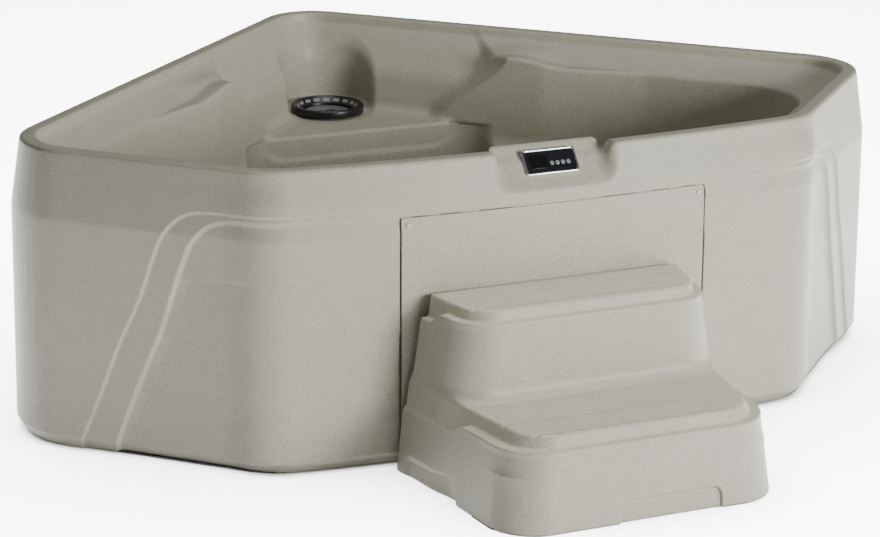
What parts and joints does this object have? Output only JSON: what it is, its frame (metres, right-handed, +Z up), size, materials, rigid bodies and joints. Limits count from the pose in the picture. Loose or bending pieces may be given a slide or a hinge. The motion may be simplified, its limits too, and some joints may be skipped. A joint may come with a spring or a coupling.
{
  "type": "corner hot tub with step",
  "caption": "Moulded corner hot tub with a control pod, a slotted filter in the rear ledge, swivelling jets, a service door and a separate step with treads.",
  "frame": {"origin": "on the floor under the footwell, on the tub's centre line", "axes": "+Z up, -Y towards the service door and step, +X to the right seen from the front"},
  "size_m": [2.3528, 2.2848, 0.74],
  "materials": {
    "moulded_shell": "rotationally moulded, fine pebbled and speckled",
    "black_pan": "matt sheet",
    "foam_block": "closed-cell foam, matt",
    "stainless": "brushed",
    "brass": "turned",
    "chrome_trim": "polished",
    "panel_face": "gloss",
    "display": "gloss",
    "button_plastic": "satin",
    "rubber": "matt",
    "black_plastic": "matt",
    "circuit_board": "lacquered",
    "filter_black": "satin",
    "filter_grey": "satin",
    "filter_media": "pleated polyester",
    "jet_grey": "satin",
    "white_pipe": "satin",
    "motor_paint": "satin",
    "iron_core": "laminated"
  },
  "bodies": {
    "tub": {"base_pan": "black_pan", "box_screws": "stainless", "cable_gland": "black_plastic", "control_bezel": "chrome_trim", "control_board": "circuit_board", "control_box": "black_plastic", "control_box_lid": "black_plastic", "control_face": "panel_face", "control_gasket": "rubber", "control_housing": "black_plastic", "display_window": "display", "door_inserts": "brass", "door_screws": "stainless", "drain_fitting": "white_pipe", "filter_ring": "filter_black", "filter_well": "filter_grey", "heater_elbow": "white_pipe", "heater_element": "stainless", "heater_tube": "stainless", "jet_bodies": "white_pipe", "jet_manifold": "white_pipe", "jet_nuts": "white_pipe", "motor_bearings": "iron_core", "motor_stator": "iron_core", "pump_base": "rubber", "pump_motor": "motor_paint", "pump_seal": "rubber", "pump_wet_end": "black_plastic", "return_pipe": "white_pipe", "service_door": "moulded_shell", "suction_covers": "jet_grey", "suction_fittings": "white_pipe", "suction_pipe": "white_pipe", "support_blocks": "foam_block", "tub_shell": "moulded_shell"},
    "step": {"step_shell": "moulded_shell", "step_pads": "rubber"},
    "filter_cartridge": {"filter_cap": "filter_black", "filter_core": "filter_grey", "filter_foot": "filter_black", "filter_pleats": "filter_media"},
    "pump_rotor": {"pump_shaft": "stainless", "pump_impeller": "white_pipe"},
    "drain_knob": {"drain_knob": "black_plastic"},
    "jets_button": {"button_jets": "button_plastic"},
    "light_button": {"button_light": "button_plastic"},
    "warmer_button": {"button_warmer": "button_plastic"},
    "cooler_button": {"button_cooler": "button_plastic"},
    "jet_face_1": {"jet_face_1": "jet_grey"},
    "jet_nozzle_1": {"jet_nozzle_1": "jet_grey"},
    "jet_face_2": {"jet_face_2": "jet_grey"},
    "jet_nozzle_2": {"jet_nozzle_2": "jet_grey"},
    "jet_face_3": {"jet_face_3": "jet_grey"},
    "jet_nozzle_3": {"jet_nozzle_3": "jet_grey"},
    "jet_face_4": {"jet_face_4": "jet_grey"},
    "jet_nozzle_4": {"jet_nozzle_4": "jet_grey"},
    "jet_face_5": {"jet_face_5": "jet_grey"},
    "jet_nozzle_5": {"jet_nozzle_5": "jet_grey"},
    "jet_face_6": {"jet_face_6": "jet_grey"},
    "jet_nozzle_6": {"jet_nozzle_6": "jet_grey"}
  },
  "joints": [
    {"name": "step_pull", "type": "slide", "parent": "tub", "child": "step", "axis": [0, -1, 0], "range_m": [0, 0.5]},
    {"name": "cartridge_lift", "type": "slide", "parent": "tub", "child": "filter_cartridge", "axis": [0, 0, 1], "range_m": [0, 0.3]},
    {"name": "pump_spin", "type": "hinge", "parent": "tub", "child": "pump_rotor", "pos_m": [0.06, -0.64, 0.15], "axis": [1, 0, 0], "continuous": true},
    {"name": "drain_turn", "type": "hinge", "parent": "tub", "child": "drain_knob", "pos_m": [1.0253, -0.0929, 0.08], "axis": [0.7071, 0.7071, 0], "range_deg": [0, 90]},
    {"name": "jets_press", "type": "slide", "parent": "tub", "child": "jets_button", "axis": [0, 0.766, -0.6428], "range_m": [0, 0.0012], "stiffness_N_per_m": 700},
    {"name": "light_press", "type": "slide", "parent": "tub", "child": "light_button", "axis": [0, 0.766, -0.6428], "range_m": [0, 0.0012], "stiffness_N_per_m": 700},
    {"name": "warmer_press", "type": "slide", "parent": "tub", "child": "warmer_button", "axis": [0, 0.766, -0.6428], "range_m": [0, 0.0012], "stiffness_N_per_m": 700},
    {"name": "cooler_press", "type": "slide", "parent": "tub", "child": "cooler_button", "axis": [0, 0.766, -0.6428], "range_m": [0, 0.0012], "stiffness_N_per_m": 700},
    {"name": "face_turn_1", "type": "hinge", "parent": "tub", "child": "jet_face_1", "pos_m": [-0.225, -0.72182, 0.52], "axis": [0, 1, 0], "range_deg": [0, 90]},
    {"name": "nozzle_aim_1", "type": "hinge", "parent": "jet_face_1", "child": "jet_nozzle_1", "pos_m": [-0.225, -0.72182, 0.52], "axis": [0, 0, 1], "range_deg": [-15, 15]},
    {"name": "face_turn_2", "type": "hinge", "parent": "tub", "child": "jet_face_2", "pos_m": [-0.375, -0.72182, 0.52], "axis": [0, 1, 0], "range_deg": [0, 90]},
    {"name": "nozzle_aim_2", "type": "hinge", "parent": "jet_face_2", "child": "jet_nozzle_2", "pos_m": [-0.375, -0.72182, 0.52], "axis": [0, 0, 1], "range_deg": [-15, 15]},
    {"name": "face_turn_3", "type": "hinge", "parent": "tub", "child": "jet_face_3", "pos_m": [-0.3, -0.72182, 0.61], "axis": [0, 1, 0], "range_deg": [0, 90]},
    {"name": "nozzle_aim_3", "type": "hinge", "parent": "jet_face_3", "child": "jet_nozzle_3", "pos_m": [-0.3, -0.72182, 0.61], "axis": [0, 0, 1], "range_deg": [-15, 15]},
    {"name": "face_turn_4", "type": "hinge", "parent": "tub", "child": "jet_face_4", "pos_m": [0.225, -0.72182, 0.52], "axis": [0, 1, 0], "range_deg": [0, 90]},
    {"name": "nozzle_aim_4", "type": "hinge", "parent": "jet_face_4", "child": "jet_nozzle_4", "pos_m": [0.225, -0.72182, 0.52], "axis": [0, 0, 1], "range_deg": [-15, 15]},
    {"name": "face_turn_5", "type": "hinge", "parent": "tub", "child": "jet_face_5", "pos_m": [0.375, -0.72182, 0.52], "axis": [0, 1, 0], "range_deg": [0, 90]},
    {"name": "nozzle_aim_5", "type": "hinge", "parent": "jet_face_5", "child": "jet_nozzle_5", "pos_m": [0.375, -0.72182, 0.52], "axis": [0, 0, 1], "range_deg": [-15, 15]},
    {"name": "face_turn_6", "type": "hinge", "parent": "tub", "child": "jet_face_6", "pos_m": [0.3, -0.72182, 0.61], "axis": [0, 1, 0], "range_deg": [0, 90]},
    {"name": "nozzle_aim_6", "type": "hinge", "parent": "jet_face_6", "child": "jet_nozzle_6", "pos_m": [0.3, -0.72182, 0.61], "axis": [0, 0, 1], "range_deg": [-15, 15]}
  ]
}
